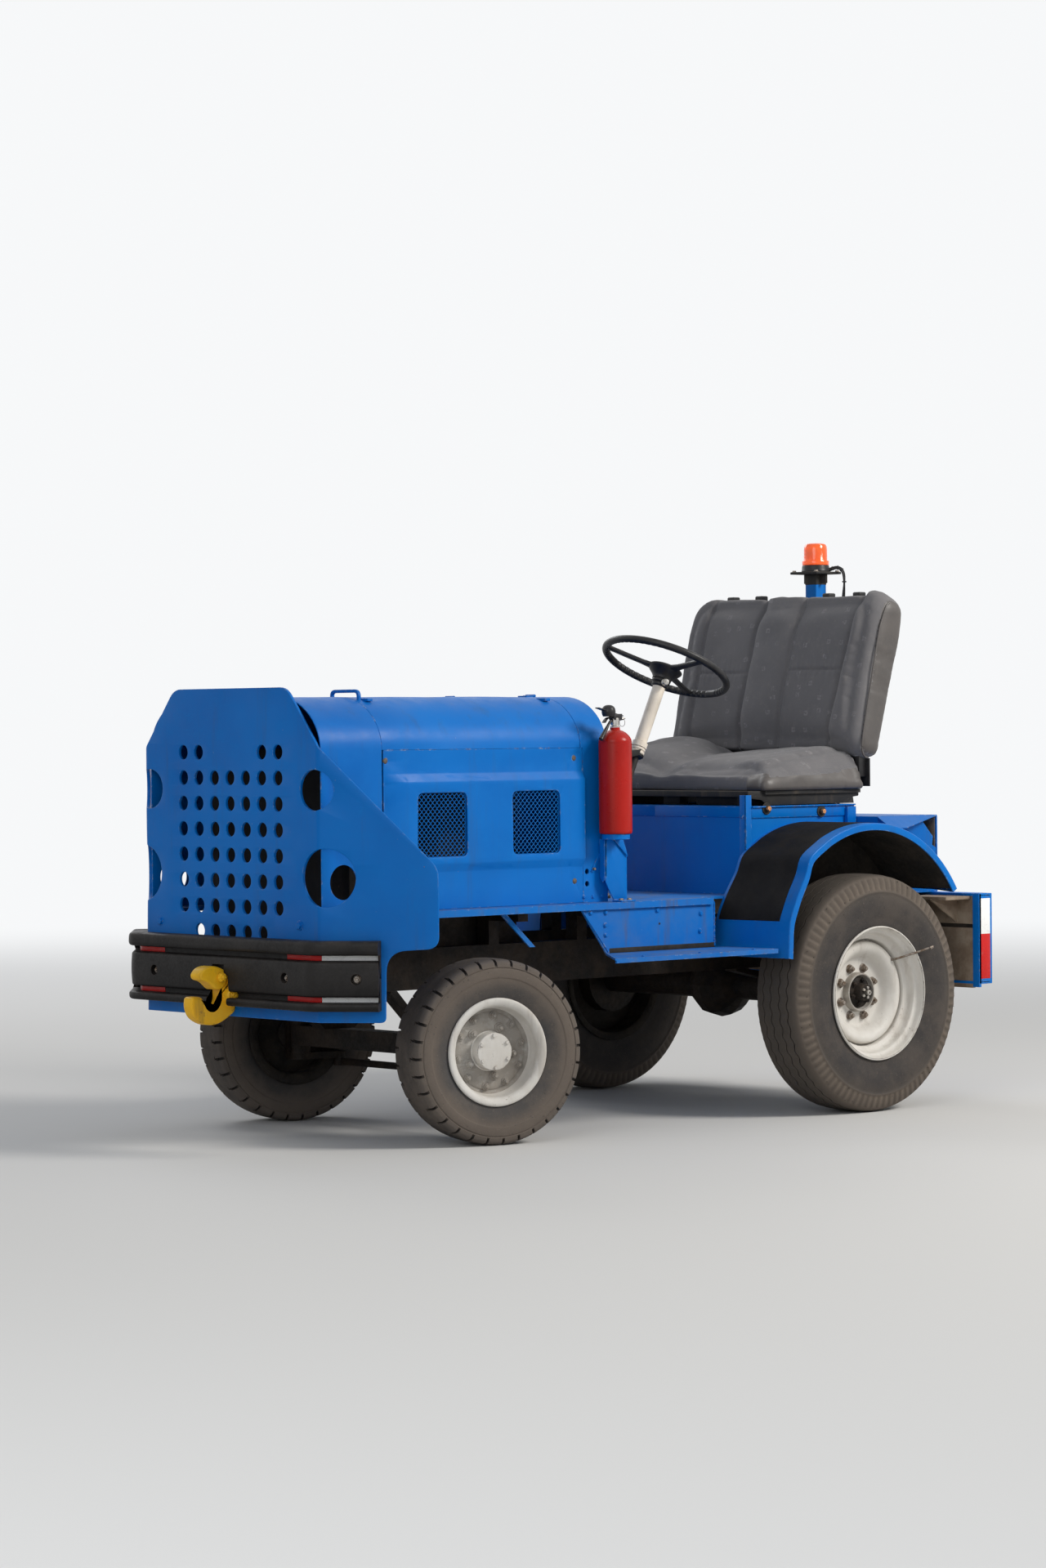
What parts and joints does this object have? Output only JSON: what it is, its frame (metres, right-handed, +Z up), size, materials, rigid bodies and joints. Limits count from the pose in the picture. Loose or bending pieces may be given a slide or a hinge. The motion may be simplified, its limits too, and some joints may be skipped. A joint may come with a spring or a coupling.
{
  "type": "airport tow tractor",
  "caption": "Open airport tow tractor with a perforated front plate, lift-up hood, footwell, bench seat, steered front wheels and front and rear tow couplings.",
  "frame": {"origin": "on the ground under the middle of the tractor's length, on its centre plane", "axes": "+X forward, +Y to the driver's left, +Z up"},
  "size_m": [2.79, 1.404, 1.809],
  "materials": {
    "blue_paint": "worn gloss blue paint with chips, scratches and dust",
    "bumper_rubber": "weathered black rubber",
    "yellow_paint": "chipped and greasy yellow paint",
    "dark_steel": "dirty black paint",
    "cast_iron": "oily dirt on cast iron",
    "seat_cloth": "faded grey woven cloth",
    "black_plastic": "matt black plastic",
    "amber_plastic": "amber lens",
    "red_paint": "gloss red paint",
    "cream_paint": "chipped off-white paint",
    "tyre_rubber": "dusty tyre rubber",
    "rim_paint": "dirty off-white paint"
  },
  "bodies": {
    "chassis": {"front_plate": "blue_paint", "front_bumper": "bumper_rubber", "front_hook": "yellow_paint", "front_cowl": "blue_paint", "side_panel_left": "blue_paint", "side_panel_right": "blue_paint", "rear_cowl": "blue_paint", "main_frame": "dark_steel", "engine_block": "cast_iron", "radiator": "dark_steel", "deck_left": "blue_paint", "deck_right": "blue_paint", "floor": "blue_paint", "step_left": "blue_paint", "step_right": "blue_paint", "seat_box": "blue_paint", "seat_frame": "dark_steel", "seat_cushion": "seat_cloth", "seat_backrest": "seat_cloth", "rear_fender_left": "blue_paint", "rear_fender_right": "blue_paint", "rear_body": "blue_paint", "rear_plate": "blue_paint", "rear_hitch": "dark_steel", "beacon_post": "blue_paint", "beacon_base": "black_plastic", "beacon_dome": "amber_plastic", "beacon_cable": "black_plastic", "extinguisher_stand": "blue_paint", "extinguisher_bottle": "red_paint", "extinguisher_valve": "black_plastic", "steering_column": "cream_paint", "pedals": "black_plastic", "front_axle": "cast_iron", "rear_axle": "cast_iron"},
    "hood": {"hood_lid": "blue_paint"},
    "steering_wheel": {"steering_wheel": "black_plastic"},
    "knuckle_left": {"knuckle_left": "cast_iron"},
    "knuckle_right": {"knuckle_right": "cast_iron"},
    "tie_rod": {"tie_rod": "dark_steel"},
    "front_wheel_left": {"front_tyre_left": "tyre_rubber", "front_rim_left": "rim_paint"},
    "front_wheel_right": {"front_tyre_right": "tyre_rubber", "front_rim_right": "rim_paint"},
    "rear_wheel_left": {"rear_tyre_left": "tyre_rubber", "rear_rim_left": "rim_paint"},
    "rear_wheel_right": {"rear_tyre_right": "tyre_rubber", "rear_rim_right": "rim_paint"}
  },
  "joints": [
    {"name": "hood_hinge", "type": "hinge", "parent": "chassis", "child": "hood", "pos_m": [0.219, 0, 1.302], "axis": [0, -1, 0], "range_deg": [0, 80]},
    {"name": "steer_left", "type": "hinge", "parent": "chassis", "child": "knuckle_left", "pos_m": [0.653, 0.4, 0.2695], "axis": [0, 0, 1], "range_deg": [-16, 48]},
    {"name": "steer_right", "type": "hinge", "parent": "chassis", "child": "knuckle_right", "pos_m": [0.653, -0.4, 0.2695], "axis": [0, 0, 1], "range_deg": [-16, 48]},
    {"name": "tie_rod_pivot", "type": "hinge", "parent": "knuckle_left", "child": "tie_rod", "pos_m": [0.52804, 0.43583, 0.1737], "axis": [0, 0, 1], "range_deg": [-48, 16]},
    {"name": "steering_spin", "type": "hinge", "parent": "chassis", "child": "steering_wheel", "pos_m": [-0.342, 0.2, 1.393], "axis": [-0.4352, 0, 0.9003], "range_deg": [-192, 576]},
    {"name": "front_spin_left", "type": "hinge", "parent": "knuckle_left", "child": "front_wheel_left", "pos_m": [0.68056, 0.49613, 0.2695], "axis": [0.2756, 0.9613, 0], "continuous": true},
    {"name": "front_spin_right", "type": "hinge", "parent": "knuckle_right", "child": "front_wheel_right", "pos_m": [0.62544, -0.49613, 0.2695], "axis": [0.2756, 0.9613, 0], "continuous": true},
    {"name": "rear_spin_left", "type": "hinge", "parent": "chassis", "child": "rear_wheel_left", "pos_m": [-0.779, 0.597, 0.371], "axis": [0, 1, 0], "continuous": true},
    {"name": "rear_spin_right", "type": "hinge", "parent": "chassis", "child": "rear_wheel_right", "pos_m": [-0.779, -0.597, 0.371], "axis": [0, 1, 0], "continuous": true}
  ],
  "couplings": [
    {"joint": "steer_right", "follows": "steer_left", "ratio": 1},
    {"joint": "tie_rod_pivot", "follows": "steer_left", "ratio": -1},
    {"joint": "steering_spin", "follows": "steer_left", "ratio": 12}
  ]
}
